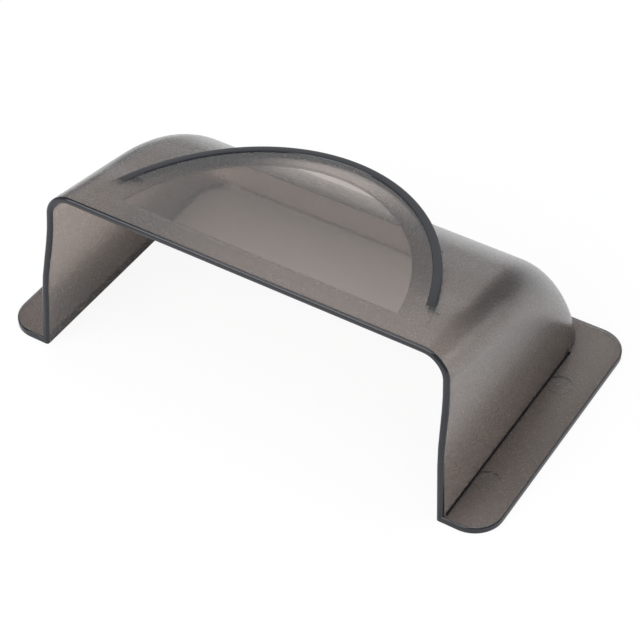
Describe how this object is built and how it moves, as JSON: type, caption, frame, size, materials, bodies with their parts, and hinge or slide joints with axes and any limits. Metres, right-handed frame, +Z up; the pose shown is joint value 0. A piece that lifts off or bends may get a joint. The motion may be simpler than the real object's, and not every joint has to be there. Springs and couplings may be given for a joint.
{
  "type": "roof vent cover",
  "caption": "Smoked translucent vent hood, open at the front and below, with side flanges to stick down and an arched visor with a polished window over its roof opening.",
  "frame": {"origin": "centre of the rectangle that the cover occupies on its mounting surface", "axes": "+Z up from the mounting surface, -Y out of the hood's open front, +X towards the right flange seen from the front"},
  "size_m": [0.2, 0.111, 0.069],
  "materials": {
    "smoked_plastic_grained": "translucent smoked brown-grey moulded plastic with a fine spark-eroded grain inside and out, satin",
    "smoked_plastic_rim": "translucent smoked brown-grey moulded plastic, fine grain on the flat face, smooth dark rim",
    "smoked_plastic_polished": "clear smoked plastic, polished on both faces",
    "adhesive_acrylic": "clear double-sided acrylic adhesive, slightly smoky"
  },
  "bodies": {
    "root": {"hood_shell": "smoked_plastic_grained", "visor_plate": "smoked_plastic_rim", "window_pane": "smoked_plastic_polished", "adhesive_pad_front_left": "adhesive_acrylic", "adhesive_pad_rear_left": "adhesive_acrylic", "adhesive_pad_front_right": "adhesive_acrylic", "adhesive_pad_rear_right": "adhesive_acrylic"}
  },
  "joints": []
}
